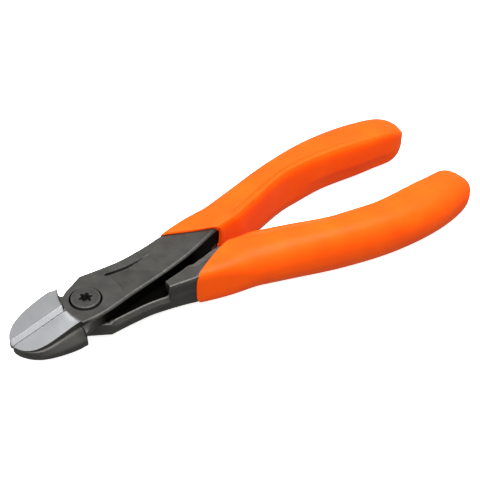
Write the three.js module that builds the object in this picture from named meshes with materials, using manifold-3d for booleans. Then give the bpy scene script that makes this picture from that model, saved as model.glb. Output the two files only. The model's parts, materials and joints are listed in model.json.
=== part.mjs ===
// Diagonal cutting pliers, 180 mm long: two drop-forged levers that lap over each other at a pivot screw,
// with a nut behind it and a moulded grip sleeve on each handle. The jaws are closed.
//
// Every shape below is worked out from the pivot: +X runs along the tool towards the handles, +Y towards the
// handle of the upper lever, +Z up, and z = 0 is the plane in which the two levers lap. Lengths are millimetres.
// The finished group is moved so that its origin is the centre of its footprint, on the surface it lies on.

import * as THREE from "three";
import { mergeVertices } from "three/addons/utils/BufferGeometryUtils.js";
import Module from "manifold-3d";

const wasm = await Module();
wasm.setup();

// ---------------------------------------------------------------- driving dimensions

const TIP_X = -28; // blunt tip of the jaws
const GRIP_END_X = 152.5; // round ends of the grips
const HEAD_THICKNESS = 10;
const HEAD_STEP = 0.05; // the jaws' ridges stay this far below the face of the head
const LAP_GAP = 0.3; // running gap between the two levers
const FIT_GAP = 0.3; // gap between a grip and the steel inside it

// Head
const PLATE_END_RADIUS = 7.95; // round end of each half-thick plate, about the pivot
const PLATE_CORNER = [3.4, 10.9]; // where the tangent off the round end meets the plate's outer edge
const SHOULDER_X = -8.25; // shoulder behind the jaws, on the tool's axis
const SHOULDER_SPAN = 60; // the shoulder runs back by y * y / SHOULDER_SPAN
const STEP_X = 26.5; // where each shank goes from half to full thickness
const EDGE_CHAMFER = 0.9;
const TANG_CHAMFER = 1.6; // on the stretch inside the grip
const MOUTH_X = 36; // where the grip starts to cover the lever
const TANG_START_X = 52; // where a lever's two halves have grown to the same width
const TANG_END_X = 128;
const ROUND_END_SHARE = 0.37; // share of half a turn that a plate's round end takes up
const HALF_OVERLAP = 0.4; // how far a lever's two halves run into each other, to join

// Jaws
const JAW_END_X = -6.9;
const RIDGE_Y = 1.5; // half the width of the V between the ground faces
const RIDGE_ANGLE = THREE.MathUtils.degToRad(16.5); // fall of the ridges towards the tip
const FACE_ANGLE = THREE.MathUtils.degToRad(4); // fall of each ground face towards its outer edge
const BEVEL_DEPTH = 1.4; // depth of the V, down to the cutting edges
const RELIEF_Y = 1.9; // half the width of the hollow under the cutting edges
const TIP_FLOOR_Z = -3.9; // underside of the jaws at the tip
const RIDGE_TOP_X = -8.6; // where the ridges reach the height of the head
const TAPER_X = [TIP_X - 2, -20]; // the flank thins out over this stretch of the tip
const RELIEF_X = [TIP_X - 4, -22]; // and the hollow under the cutting edges opens over this one
const MIN_LAND = 0.3; // least width of a ground face, at the tip
const NEAR_NARROWING = 1.9; // how much narrower the near jaw's ground face gets on its way to the shoulder
const NARROWING_X = [-26, -9];
const FLANK_BULGE = [1, 1.6]; // how far a jaw's side stands outside its outline, in front and at the shoulder
const FACET = [0.2, 0.22]; // steps down a flank: how far out, and what share of its height down
const LEDGE = [0.7, 0.28];
const BELLY_DROP = 0.62;
const FOOT = [0.5, 0.12];

// Pivot
const SCREW_RADIUS = 3.4;
const SCREW_RUN = 0.1; // radial clearance of the screw in the levers
const SCREW_HEAD_RADIUS = 5.1;
const SCREW_HEAD_PROUD = 0.8;
const SEAT_DEPTH = 0.9; // counterbore under the screw head, and over the nut
const SCREW_EDGE = 0.4; // chamfer of the screw's head and of the nut
const THREAD_RADIUS = 2.5;
const THREAD_EDGE = 0.3;
const NUT_PROUD = 0.4;
const STAR_LOBES = 6;
const STAR_RADIUS = 2; // middle radius of the star recess
const STAR_LOBE_DEPTH = 0.38;
const STAR_DEPTH = 2;

// Sunk panel on the upper lever
const PANEL_DEPTH = 0.9;
const PANEL_START_RADIUS = 13;
const PANEL_ARC = [-0.3, 0.55]; // radians from +X, the two ends of the arc where it starts
const PANEL_RIM_X = 15; // where its straight rims start
const PANEL_END_X = 30;
const PANEL_MARGINS = [2.6, 1]; // from the lever's outer and inner edge
const PANEL_RAMP_Y = [-4.5, 6]; // across the panel, from level with the face to its full depth

// Grips
const MOUTH_SQUARENESS = 6; // exponent of the superellipse that a grip's sections follow at its mouth
const GRIP_SQUARENESS = 2.6; // and from the middle on
const GRIP_SETTLED_X = 66;
const GRIP_START_X = 34; // sections start in front of the mouth, which is cut afterwards
const GRIP_END_LENGTH = 9.7; // length of the round end
const GRIP_END_HEIGHT = 0.35; // height that the end keeps, as a share
const GRIP_SIDES = 24;
const MOUTH_OUTER = [36.6, 13]; // the slanting mouth of a grip, at its outer side
const MOUTH_INNER = [54, 2.4]; // and at its inner side

const halfHead = HEAD_THICKNESS / 2;
const halfLap = LAP_GAP / 2;

// ---------------------------------------------------------------- outlines, as values along x

// A smooth curve through a few points, given as a function of x.
function smoothThrough(points) {
  const slope = (i) => {
    const [x0, y0] = points[Math.max(i - 1, 0)];
    const [x1, y1] = points[Math.min(i + 1, points.length - 1)];
    return (y1 - y0) / (x1 - x0);
  };
  return (x) => {
    const inside = THREE.MathUtils.clamp(x, points[0][0], points.at(-1)[0]);
    const found = points.findIndex((p) => p[0] > inside);
    const i = found < 0 ? points.length - 2 : found - 1;
    const [x0, y0] = points[i];
    const [x1, y1] = points[i + 1];
    const width = x1 - x0;
    const t = (inside - x0) / width;
    const near = (1 + 2 * t) * (1 - t) ** 2 * y0 + t * (1 - t) ** 2 * width * slope(i);
    const far = t * t * (3 - 2 * t) * y1 + t * t * (t - 1) * width * slope(i + 1);
    return near + far;
  };
}

// Outer edge of a lever behind the plate's corner, then of the tang inside the grip.
const outerEdge = smoothThrough([
  PLATE_CORNER, [12, 10.4], [20, 10.3], [30, 11.5], [38, 12.9], [54, 15.2], [72, 19.4], [92, 24.9], [112, 27.1],
  [TANG_END_X, 26],
]);

// Inner edge of the half that laps over the other lever. It crosses the tool's axis.
const lapEdge = smoothThrough([
  [SHOULDER_X, -10.1], [-3.5, -9.9], [5, -8.8], [13.4, -6.7], [23, -4.8], [32.4, -3], [42, -0.7],
  [TANG_START_X, 2.9], [72, 10.2], [92, 16.5], [112, 19.1], [TANG_END_X, 19],
]);

// Inner edge of the other half, which starts at the step.
const stepEdge = smoothThrough([
  [STEP_X, 7.6], [34, 6.3], [43, 4.2], [TANG_START_X, 2.9], [72, 10.2], [92, 16.5], [112, 19.1], [TANG_END_X, 19],
]);

// Half the thickness of a lever, which swells towards the mouth of the grip and tapers inside it.
const halfThickness = smoothThrough([
  [-9, halfHead], [16, halfHead], [30, 5.5], [52, 6.8], [72, 6], [100, 5.4], [128, 4.6],
]);

// Half the width of a ground face's outline, from the axis to its outer edge.
const faceWidth = smoothThrough([
  [TIP_X, 1.9], [-27, 4.1], [-25.3, 6.2], [-23, 7.9], [-20, 9.1], [-16.5, 9.9], [-12, 10.2], [-8.6, 9.9],
  [JAW_END_X, 9.3],
]);

// Middle line, half width and half height of a grip.
const gripMiddle = smoothThrough([
  [34, 4.6], [44, 6.9], [54, 9.5], [72, 14.8], [92, 20.7], [112, 23.1], [132, 22.3], [GRIP_END_X, 19.2],
]);
const gripHalfWidth = smoothThrough([
  [34, 7.6], [44, 8.1], [54, 8.2], [72, 7.45], [92, 6.75], [112, 8.15], [132, 8.8], [GRIP_END_X, 6.7],
]);
const gripHalfHeight = smoothThrough([
  [34, 7.2], [54, 8.1], [72, 9], [92, 9.5], [120, 9.3], [GRIP_END_X, 8.4],
]);

// ---------------------------------------------------------------- geometry helpers

// A closed three.js geometry as a solid that can be joined and cut.
function solid(geometry) {
  const bare = geometry.clone();
  bare.deleteAttribute("normal");
  bare.deleteAttribute("uv");
  const merged = mergeVertices(bare, 1e-4);
  return new wasm.Manifold(
    new wasm.Mesh({
      numProp: 3,
      vertProperties: new Float32Array(merged.attributes.position.array),
      triVerts: new Uint32Array(merged.index.array),
    }),
  );
}

// A joined and cut solid as a three.js geometry.
function geometryOf(made) {
  const { vertProperties, triVerts } = made.getMesh();
  const geometry = new THREE.BufferGeometry();
  geometry.setAttribute("position", new THREE.BufferAttribute(vertProperties, 3));
  geometry.setIndex(new THREE.BufferAttribute(triVerts, 1));
  geometry.computeVertexNormals();
  return geometry;
}

// A closed body through the sections at the given stations. section(s) lists points of (across, up) in
// anticlockwise order, as many at each station, and place(s, point) puts one in space.
function loft(stations, section, place) {
  const outlines = stations.map((s) => section(s));
  const count = outlines[0].length;
  const positions = stations.flatMap((s, i) => outlines[i].flatMap((p) => place(s, p).toArray()));
  const indices = [];
  for (let i = 0; i + 1 < stations.length; i++) {
    for (let j = 0; j < count; j++) {
      const a = i * count + j;
      const b = i * count + ((j + 1) % count);
      indices.push(a, b, b + count, a, b + count, a + count);
    }
  }
  const last = (stations.length - 1) * count;
  for (const [a, b, c] of THREE.ShapeUtils.triangulateShape(outlines[0], [])) indices.push(a, c, b);
  for (const [a, b, c] of THREE.ShapeUtils.triangulateShape(outlines.at(-1), [])) {
    indices.push(last + a, last + b, last + c);
  }
  const geometry = new THREE.BufferGeometry();
  geometry.setAttribute("position", new THREE.Float32BufferAttribute(positions, 3));
  geometry.setIndex(indices);
  return solid(geometry);
}

// Places a section point across the tool: (across, up) is (y, z).
const acrossTool = (x, point) => new THREE.Vector3(x, point.x, point.y);

const point = (across, up) => new THREE.Vector2(across, up);

// Numbers from low to high, about step apart.
function spread(low, high, step) {
  const count = Math.max(1, Math.round((high - low) / step));
  return Array.from({ length: count + 1 }, (_, i) => low + ((high - low) * i) / count);
}

// An upright bar of the given plan outline.
function upright(outline, low, high) {
  const bar = new THREE.ExtrudeGeometry(new THREE.Shape(outline), { depth: high - low, bevelEnabled: false });
  return solid(bar.translate(0, 0, low));
}

// An upright round bar on the pivot axis.
function roundBar(radius, low, high) {
  const bar = new THREE.CylinderGeometry(radius, radius, high - low, 64);
  return solid(bar.rotateX(Math.PI / 2).translate(0, 0, (low + high) / 2));
}

// The same shape turned half a turn about the tool's axis, which makes one lever's side the other's.
const turnedOver = (made) => made.rotate([180, 0, 0]);

// ---------------------------------------------------------------- levers

const LONG = 160; // reaches past everything
const shoulderX = (y) => SHOULDER_X + (y * y) / SHOULDER_SPAN;

// Everything behind the curved shoulder, between two heights.
function behindShoulder(low, high) {
  const arc = spread(-14, 14, 2).map((y) => point(shoulderX(y), y));
  return upright([point(LONG, -40), point(LONG, 40), ...arc.reverse()], low, high);
}

// One jaw, whole thickness. side is -1 for the jaw at -Y and 1 for the jaw at +Y.
function jaw(side) {
  const section = (x) => {
    const width = faceWidth(x);
    const taper = THREE.MathUtils.smoothstep(x, ...TAPER_X);
    const narrowing = side < 0 ? NEAR_NARROWING * THREE.MathUtils.smoothstep(x, ...NARROWING_X) : 0;
    const faceEnd = width - narrowing;
    const ridgeY = Math.min(RIDGE_Y, width - MIN_LAND);
    const ridgeZ = Math.min(halfHead + (x - RIDGE_TOP_X) * Math.tan(RIDGE_ANGLE), halfHead - HEAD_STEP);
    const edgeZ = ridgeZ - (BEVEL_DEPTH * ridgeY) / RIDGE_Y;
    const outerZ = ridgeZ - (width - ridgeY) * Math.tan(FACE_ANGLE);
    const floorZ = THREE.MathUtils.mapLinear(x, TIP_X, JAW_END_X, TIP_FLOOR_Z, -halfHead);
    const drop = outerZ - floorZ;
    const bulge = taper * THREE.MathUtils.mapLinear(x, TIP_X, JAW_END_X, ...FLANK_BULGE);
    const relief = RELIEF_Y * THREE.MathUtils.smoothstep(x, ...RELIEF_X);
    const outline = [
      point(halfLap / 2, edgeZ),
      point(ridgeY, ridgeZ),
      point(faceEnd, outerZ + narrowing * Math.tan(FACE_ANGLE)),
      point(faceEnd + FACET[0] * taper, outerZ - FACET[1] * drop),
      point(faceEnd + LEDGE[0] * taper, outerZ - LEDGE[1] * drop),
      point(width + bulge, outerZ - BELLY_DROP * drop),
      point(width + bulge, floorZ + FOOT[1] * drop),
      point(width + FOOT[0] * taper, floorZ),
      point(Math.min(relief, width - MIN_LAND), floorZ),
    ].map((p) => point(side * p.x, p.y));
    return side < 0 ? outline : outline.reverse();
  };
  return loft([...spread(TIP_X, -24, 0.8), ...spread(-23, JAW_END_X, 1.6)], section, acrossTool);
}

// Outer edge of the lapping half: its round end, the tangent off it and the long edge of the shank.
function lapOuter(x) {
  const [cornerX, cornerY] = PLATE_CORNER;
  const reach = Math.hypot(cornerX, cornerY);
  const touch = Math.atan2(cornerY, cornerX) + Math.acos(PLATE_END_RADIUS / reach);
  const touchX = PLATE_END_RADIUS * Math.cos(touch);
  if (x >= cornerX) return outerEdge(x);
  if (x >= touchX) return (PLATE_END_RADIUS - x * Math.cos(touch)) / Math.sin(touch);
  return Math.sqrt(Math.max(PLATE_END_RADIUS ** 2 - x * x, 0)) - halfLap / 2;
}

// Section of a lever at x, between two edges, with its top corners chamfered.
function chamferedBar(x, low, high, floorZ, topZ) {
  const covered = THREE.MathUtils.smoothstep(x, MOUTH_X, TANG_START_X);
  const chamfer = THREE.MathUtils.lerp(EDGE_CHAMFER, TANG_CHAMFER, covered);
  return [
    point(low, floorZ),
    point(high, floorZ),
    point(high, topZ - chamfer),
    point(high - chamfer, topZ),
    point(low + chamfer, topZ),
    point(low, topZ - chamfer),
  ];
}

// Both halves of a handle share their stations, so that their walls meet flush.
const handleStations = [
  ...spread(STEP_X, TANG_START_X, 4.25), ...spread(TANG_START_X + 4, TANG_END_X, 4.5),
];

// The half of a lever that laps over the other: its plate, and the upper half of its shank and tang.
function lappingHalf(grow) {
  const roundEnd = spread(0, ROUND_END_SHARE * Math.PI, 0.1).map((a) => -PLATE_END_RADIUS * Math.cos(a));
  const head = [SHOULDER_X, ...roundEnd, ...spread(-2.4, PLATE_CORNER[0], 1.6), ...spread(8, 23, 3.7)];
  const stations = [...head, ...handleStations];
  const section = (x) =>
    chamferedBar(x, lapEdge(x) - grow, lapOuter(x) + grow, halfLap - 2 * grow, halfThickness(x) + grow);
  return loft(stations, section, acrossTool);
}

// The other half of the shank and tang, from the step to the end, with its chamfers underneath.
function steppedHalf(grow) {
  const section = (x) => {
    const bar = chamferedBar(x, stepEdge(x) - grow, outerEdge(x) + grow, -halfLap - HALF_OVERLAP, halfThickness(x) + grow);
    return bar.map((p) => point(p.x, -p.y)).reverse();
  };
  return loft(handleStations, section, acrossTool);
}

// Everything above a sloping plane that passes through two points of (z, x), whatever y is.
function aboveLine([z0, x0], [z1, x1]) {
  const slope = (z1 - z0) / (x1 - x0);
  const height = (x) => z0 + slope * (x - x0);
  const side = [point(-60, height(-60)), point(60, height(60)), point(60, LONG), point(-60, LONG)];
  const slab = new THREE.ExtrudeGeometry(new THREE.Shape(side), { depth: LONG, bevelEnabled: false });
  return solid(slab.rotateX(Math.PI / 2).translate(0, LONG / 2, 0));
}

// The shallow panel sunk into the upper lever, which comes up level with its face at the back.
function panel() {
  const start = spread(0, 8, 1).map((i) => {
    const angle = THREE.MathUtils.lerp(...PANEL_ARC, i / 8);
    return point(PANEL_START_RADIUS * Math.cos(angle), PANEL_START_RADIUS * Math.sin(angle));
  });
  const rim = spread(PANEL_RIM_X, PANEL_END_X, 3).map((x) => point(x, outerEdge(x) - PANEL_MARGINS[0]));
  const front = spread(PANEL_END_X, PANEL_RIM_X, -3).map((x) => point(x, lapEdge(x) + PANEL_MARGINS[1]));
  const sunk = upright([...start, ...rim, ...front], halfHead - PANEL_DEPTH, halfHead + 2);
  const bottom = halfHead - PANEL_DEPTH;
  const alongRamp = aboveLine([bottom, PANEL_START_RADIUS], [halfThickness(PANEL_END_X) + 0.05, PANEL_END_X]);
  const acrossRamp = aboveLine([halfHead, PANEL_RAMP_Y[0]], [bottom, PANEL_RAMP_Y[1]]).rotate([0, 0, 90]);
  return sunk.intersect(alongRamp).intersect(acrossRamp);
}

const bore = roundBar(SCREW_RADIUS + SCREW_RUN, -LONG, LONG);
const headSeat = roundBar(SCREW_HEAD_RADIUS + SCREW_RUN, halfHead - SEAT_DEPTH, LONG);

function upperLever() {
  const plate = lappingHalf(0).intersect(behindShoulder(-LONG, LONG));
  const closedJaw = jaw(-1).subtract(behindShoulder(-LONG, halfLap));
  return plate.add(closedJaw).add(steppedHalf(0)).subtract(bore).subtract(headSeat).subtract(panel());
}

function lowerLever() {
  const plate = turnedOver(lappingHalf(0).intersect(behindShoulder(-LONG, LONG)));
  const closedJaw = jaw(1).subtract(behindShoulder(-halfLap, LONG));
  const handle = turnedOver(steppedHalf(0));
  return plate.add(closedJaw).add(handle).subtract(bore).subtract(turnedOver(headSeat));
}

// ---------------------------------------------------------------- pivot

// Head, bearing shank and threaded end, turned about the pivot axis, with a star recess for the driver.
function pivotScrew() {
  const headTop = halfHead + SCREW_HEAD_PROUD;
  const headFloor = halfHead - SEAT_DEPTH + SCREW_RUN;
  const nutTop = -(halfHead - SEAT_DEPTH) + 2 * SCREW_RUN;
  const profile = [
    [0, -halfHead - NUT_PROUD], [THREAD_RADIUS - THREAD_EDGE, -halfHead - NUT_PROUD], [THREAD_RADIUS, -halfHead],
    [THREAD_RADIUS, nutTop], [SCREW_RADIUS, nutTop], [SCREW_RADIUS, headFloor], [SCREW_HEAD_RADIUS, headFloor],
    [SCREW_HEAD_RADIUS, headTop - SCREW_EDGE], [SCREW_HEAD_RADIUS - SCREW_EDGE, headTop],
    [0, headTop],
  ].map(([radius, z]) => point(radius, z));
  const turned = solid(new THREE.LatheGeometry(profile, 48).rotateX(Math.PI / 2));
  const star = spread(0, 59, 1).map((i) => {
    const angle = (i / 60) * 2 * Math.PI;
    const radius = STAR_RADIUS + STAR_LOBE_DEPTH * Math.cos(STAR_LOBES * angle);
    return point(radius * Math.cos(angle), radius * Math.sin(angle));
  });
  return turned.subtract(upright(star, headTop - STAR_DEPTH, LONG));
}

// The round nut that holds the screw, seated in the lower lever.
function pivotNut() {
  const top = -(halfHead - SEAT_DEPTH) - SCREW_RUN;
  const bottom = -halfHead - NUT_PROUD;
  const inner = THREAD_RADIUS + SCREW_RUN;
  const profile = [
    [inner, bottom], [SCREW_HEAD_RADIUS - SCREW_EDGE, bottom], [SCREW_HEAD_RADIUS, bottom + SCREW_EDGE],
    [SCREW_HEAD_RADIUS, top],
    [inner, top], [inner, bottom],
  ].map(([radius, z]) => point(radius, z));
  return solid(new THREE.LatheGeometry(profile, 48).rotateX(Math.PI / 2));
}

// ---------------------------------------------------------------- grips

// The sleeve on the upper lever's handle: rounded sections along its middle line, cut by its slanting
// mouth and hollowed to take the shank and tang.
function gripSleeve() {
  const place = (x, p) => {
    const along = new THREE.Vector2(1, (gripMiddle(x + 0.1) - gripMiddle(x - 0.1)) / 0.2).normalize();
    return new THREE.Vector3(x - along.y * p.x, gripMiddle(x) + along.x * p.x, p.y);
  };
  const section = (x) => {
    const intoEnd = THREE.MathUtils.clamp((x - GRIP_END_X + GRIP_END_LENGTH) / GRIP_END_LENGTH, 0, 1);
    const shrink = Math.sqrt(1 - intoEnd ** 2);
    const width = gripHalfWidth(x) * Math.max(shrink, 0.02);
    const height = gripHalfHeight(x) * THREE.MathUtils.lerp(GRIP_END_HEIGHT, 1, shrink);
    const settled = THREE.MathUtils.smoothstep(x, MOUTH_X, GRIP_SETTLED_X);
    const power = 2 / THREE.MathUtils.lerp(MOUTH_SQUARENESS, GRIP_SQUARENESS, settled);
    return spread(0, GRIP_SIDES - 1, 1).map((i) => {
      const angle = ((i + 0.5) / GRIP_SIDES) * 2 * Math.PI;
      const across = Math.sign(Math.cos(angle)) * Math.abs(Math.cos(angle)) ** power;
      const up = Math.sign(Math.sin(angle)) * Math.abs(Math.sin(angle)) ** power;
      return point(width * across, height * up);
    });
  };
  const roundEnd = spread(1, 8, 1).map((i) => GRIP_END_X - GRIP_END_LENGTH * (1 - Math.sin((i / 16) * Math.PI)));
  const stations = [...spread(GRIP_START_X, GRIP_END_X - GRIP_END_LENGTH, 4.5), ...roundEnd];
  const outside = loft(stations, section, place);
  const slope = (MOUTH_INNER[1] - MOUTH_OUTER[1]) / (MOUTH_INNER[0] - MOUTH_OUTER[0]);
  const mouthY = (x) => MOUTH_OUTER[1] + slope * (x - MOUTH_OUTER[0]);
  const front = upright([point(-10, mouthY(-10)), point(-10, -80), point(90, -80), point(90, mouthY(90))], -20, 20);
  return outside.subtract(front).subtract(lappingHalf(FIT_GAP)).subtract(steppedHalf(FIT_GAP));
}

// ---------------------------------------------------------------- materials and assembly

const forgedSteel = () => new THREE.MeshStandardMaterial({ color: 0x5a5854, roughness: 0.45, metalness: 0.8 });
const gripVinyl = () => new THREE.MeshStandardMaterial({ color: 0xf7641c, roughness: 0.42, metalness: 0 });

const pieces = [
  ["upper_lever", upperLever(), forgedSteel()],
  ["lower_lever", lowerLever(), forgedSteel()],
  ["pivot_screw", pivotScrew(), forgedSteel()],
  ["pivot_nut", pivotNut(), forgedSteel()],
  ["upper_lever_grip", gripSleeve(), gripVinyl()],
  ["lower_lever_grip", turnedOver(gripSleeve()), gripVinyl()],
];

const group = new THREE.Group();
for (const [name, made, material] of pieces) {
  const mesh = new THREE.Mesh(geometryOf(made), material);
  mesh.name = name;
  group.add(mesh);
}

// The origin moves from the pivot to the middle of the footprint, on the surface under the grips.
const box = new THREE.Box3().setFromObject(group);
group.position.set(-(box.min.x + box.max.x) / 2, -(box.min.y + box.max.y) / 2, -box.min.z);

export default group;
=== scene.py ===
"""Diagonal cutting pliers: two drop-forged levers on a pivot screw and nut, with a moulded grip on each.

Lengths are millimetres from the pivot, in the plane where the levers lap, until a mesh is made: x runs along
the tool towards the handles, y towards the upper lever's handle and z up. The lower lever and its grip are
worked out in the upper one's place and then turned half a turn about x, as the real pair is.
"""

import json
import logging
import math
from dataclasses import dataclass, field
from enum import Enum
from typing import Any, Callable, Sequence

import bpy
import numpy as np
from mathutils import Matrix, Vector


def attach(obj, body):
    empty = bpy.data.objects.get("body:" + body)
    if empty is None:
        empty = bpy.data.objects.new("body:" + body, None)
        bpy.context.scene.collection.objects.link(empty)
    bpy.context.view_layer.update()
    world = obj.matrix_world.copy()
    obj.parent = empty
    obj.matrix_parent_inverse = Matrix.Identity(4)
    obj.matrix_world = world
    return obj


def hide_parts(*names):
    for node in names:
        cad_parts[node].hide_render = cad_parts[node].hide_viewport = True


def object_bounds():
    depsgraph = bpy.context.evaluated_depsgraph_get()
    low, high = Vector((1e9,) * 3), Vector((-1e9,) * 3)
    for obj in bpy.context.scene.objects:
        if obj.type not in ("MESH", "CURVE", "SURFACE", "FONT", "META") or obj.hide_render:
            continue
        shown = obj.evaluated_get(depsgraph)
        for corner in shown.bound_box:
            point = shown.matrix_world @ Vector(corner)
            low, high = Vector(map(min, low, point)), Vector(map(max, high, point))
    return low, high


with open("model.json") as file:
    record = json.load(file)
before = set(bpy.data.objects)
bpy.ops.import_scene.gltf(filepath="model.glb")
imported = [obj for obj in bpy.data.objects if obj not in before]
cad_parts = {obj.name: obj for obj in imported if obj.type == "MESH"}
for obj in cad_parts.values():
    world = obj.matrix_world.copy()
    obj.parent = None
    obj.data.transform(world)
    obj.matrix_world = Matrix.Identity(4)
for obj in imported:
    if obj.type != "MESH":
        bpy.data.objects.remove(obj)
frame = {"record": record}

Array = np.ndarray
Span = tuple[float, float]
Rows = tuple[Span, ...]
Tree = bpy.types.NodeTree

CAD_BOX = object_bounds()
MM = 0.001  # metres in a millimetre
PIVOT = np.array(frame["record"]["behaviour"]["joints"][0]["pos_m"])
NOISE_SPAN = (0.3, 0.7)  # nearly all of a noise's values lie between these

log = logging.getLogger("pliers")


# ---------------------------------------------------------------- numbers along a line


def smoothstep(x: Array, low: float, high: float) -> Array:
    """Rises from 0 at low to 1 at high, level at both ends.

    Args:
        x: Where it is wanted.
        low: Where the rise starts.
        high: Where the rise ends.

    Returns:
        The height of the rise at each x.
    """
    t = np.clip((x - low) / (high - low), 0, 1)
    return t * t * (3 - 2 * t)


def plateau(x: Array, rise: Span, fall: Span) -> Array:
    """Rises from 0 to 1 over one stretch of x and falls back over another."""
    return smoothstep(x, *rise) * (1 - smoothstep(x, *fall))


def bell(x: Array, middle: float, width: float) -> Array:
    """A soft bump of height 1 at its middle, which has nearly gone two widths away."""
    return np.exp(-(((x - middle) / width) ** 2))


def between(low: Any, high: Any, share: Any) -> Array:
    """The value that lies the given share of the way from low to high."""
    return low + (high - low) * share


def fillet(run: Array, radius: float) -> Array:
    """Height of a quarter-round fillet this far from the wall that it leans on, from radius down to 0."""
    away = 1 - np.clip(run / radius, 0, 1)
    return radius * (1 - np.sqrt(1 - away**2))


@dataclass(frozen=True)
class Curve:
    """A smooth line through a few points, given as a value along x."""

    points: Rows

    def __call__(self, x: Array) -> Array:
        """The line at x, where each stretch is a cubic whose slope at a point is that of its two neighbours.

        Args:
            x: Where it is wanted. Beyond the end points the line is level.

        Returns:
            The value at each x.
        """
        xs, ys = np.array(self.points).T
        before = np.maximum(np.arange(len(xs)) - 1, 0)
        after = np.minimum(np.arange(len(xs)) + 1, len(xs) - 1)
        slope = (ys[after] - ys[before]) / (xs[after] - xs[before])
        inside = np.clip(x, xs[0], xs[-1])
        i = np.clip(np.searchsorted(xs, inside, side="right") - 1, 0, len(xs) - 2)
        width = xs[i + 1] - xs[i]
        t = (inside - xs[i]) / width
        near = (1 + 2 * t) * (1 - t) ** 2 * ys[i] + t * (1 - t) ** 2 * width * slope[i]
        far = t * t * (3 - 2 * t) * ys[i + 1] + t * t * (t - 1) * width * slope[i + 1]
        return near + far


# ---------------------------------------------------------------- meshes


@dataclass
class Surface:
    """A closed surface of vertices in millimetres from the pivot, its faces and each face's finish number."""

    vertices: Array
    faces: list[list[int]]
    finish: Array

    def turned_over(self) -> "Surface":
        """The same surface after half a turn about x."""
        return Surface(self.vertices * np.array([1, -1, -1]), self.faces, self.finish)


def closed_loft(rings: Array) -> Surface:
    """A closed body through rings of points, each end closed by triangles to the middle of its ring.

    Args:
        rings: Points as (ring, point, xyz), each ring anticlockwise when the next one lies towards the eye.

    Returns:
        The surface. Face number ring * points + point joins that point to the next ring.
    """
    count, points, _ = rings.shape
    here = np.arange((count - 1) * points)
    beside = here // points * points + (here + 1) % points
    quads = np.stack([here, beside, beside + points, here + points], axis=1)
    first = np.arange(points)
    second = (first + 1) % points
    last = (count - 1) * points
    pole = count * points
    start = np.stack([second, first, np.full(points, pole)], axis=1)
    end = np.stack([last + first, last + second, np.full(points, pole + 1)], axis=1)
    middles = np.stack([rings[0].mean(axis=0), rings[-1].mean(axis=0)])
    vertices = np.concatenate([rings.reshape(-1, 3), middles])
    faces = quads.tolist() + start.tolist() + end.tolist()
    return Surface(vertices, faces, np.zeros(len(faces), int))


def turned(profile: Rows, steps: int, swell: Array | float = 0.0) -> Surface:
    """A body turned about the pivot axis, from the first point of its profile, on the axis, to the last.

    Args:
        profile: Radius and height of each circle, from the top of the body down its outside.
        steps: Points round each circle.
        swell: How far each circle stands out round the axis, as (circle, point).

    Returns:
        The surface.
    """
    angle = np.arange(steps) / steps * 2 * np.pi
    radius, height = (np.repeat(column[:, None], steps, axis=1) for column in np.array(profile).T)
    reach = radius + swell
    return closed_loft(np.stack([reach * np.cos(angle), -reach * np.sin(angle), height], axis=2))


def make_piece(name: str, surface: Surface, materials: Sequence[bpy.types.Material]) -> bpy.types.Object:
    """Makes a mesh object of a surface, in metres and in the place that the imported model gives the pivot.

    Args:
        name: The object's name.
        surface: Its shape.
        materials: Its finishes, in the order of the surface's finish numbers.

    Returns:
        The object, at the origin.
    """
    mesh = bpy.data.meshes.new(name)
    mesh.from_pydata((surface.vertices * MM + PIVOT).tolist(), [], surface.faces)
    for material in materials:
        mesh.materials.append(material)
    mesh.polygons.foreach_set("material_index", surface.finish.astype(np.int32))
    piece = bpy.data.objects.new(name, mesh)
    bpy.context.scene.collection.objects.link(piece)
    return piece


def carve(piece: bpy.types.Object, cutter: Surface) -> None:
    """Cuts a shape out of a piece for good.

    Args:
        piece: The piece that is cut.
        cutter: The shape that is taken out of it.
    """
    tool = make_piece("cutter", cutter, [])
    modifier = piece.modifiers.new("cut", "BOOLEAN")
    modifier.operation = "DIFFERENCE"
    modifier.solver = "EXACT"
    modifier.object = tool
    graph = bpy.context.evaluated_depsgraph_get()
    made = piece.evaluated_get(graph)
    cut = bpy.data.meshes.new_from_object(made, preserve_all_data_layers=True, depsgraph=graph)
    uncut = piece.data
    piece.modifiers.clear()
    piece.data = cut
    cut.name = piece.name
    bpy.data.meshes.remove(uncut)
    bpy.data.objects.remove(tool)


def places_on(piece: bpy.types.Object) -> Array:
    """Where a piece's vertices are.

    Args:
        piece: The piece, in place.

    Returns:
        Points in millimetres from the pivot, as (vertex, xyz).
    """
    places = np.empty(len(piece.data.vertices) * 3, np.float32)
    piece.data.vertices.foreach_get("co", places)
    return (places.reshape(-1, 3) - PIVOT) / MM


def mark(piece: bpy.types.Object, name: str, amounts: Array) -> None:
    """Gives each vertex of a piece a number from 0 to 1, which the finishes read by its name."""
    marks = piece.data.attributes.new(name, "FLOAT", "POINT")
    marks.data.foreach_set("value", amounts.astype(np.float32))


def smooth_shade(piece: bpy.types.Object, crease: float) -> None:
    """Shades a piece smoothly, apart from edges where its faces turn by more than crease degrees."""
    piece.data.shade_smooth()
    piece.data.set_sharp_from_angle(angle=math.radians(crease))


def report(piece: bpy.types.Object) -> None:
    """Logs a finished piece and how many triangles it has."""
    log.info("%s: %d triangles", piece.name, len(piece.data.loops) - 2 * len(piece.data.polygons))


# ---------------------------------------------------------------- finishes


def linear(code: str) -> tuple[float, float, float, float]:
    """The linear colour of an sRGB hex value such as #5a5a55."""
    shares = [int(code[i : i + 2], 16) / 255 for i in (1, 3, 5)]
    return (*(s / 12.92 if s <= 0.04045 else ((s + 0.055) / 1.055) ** 2.4 for s in shares), 1.0)


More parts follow.
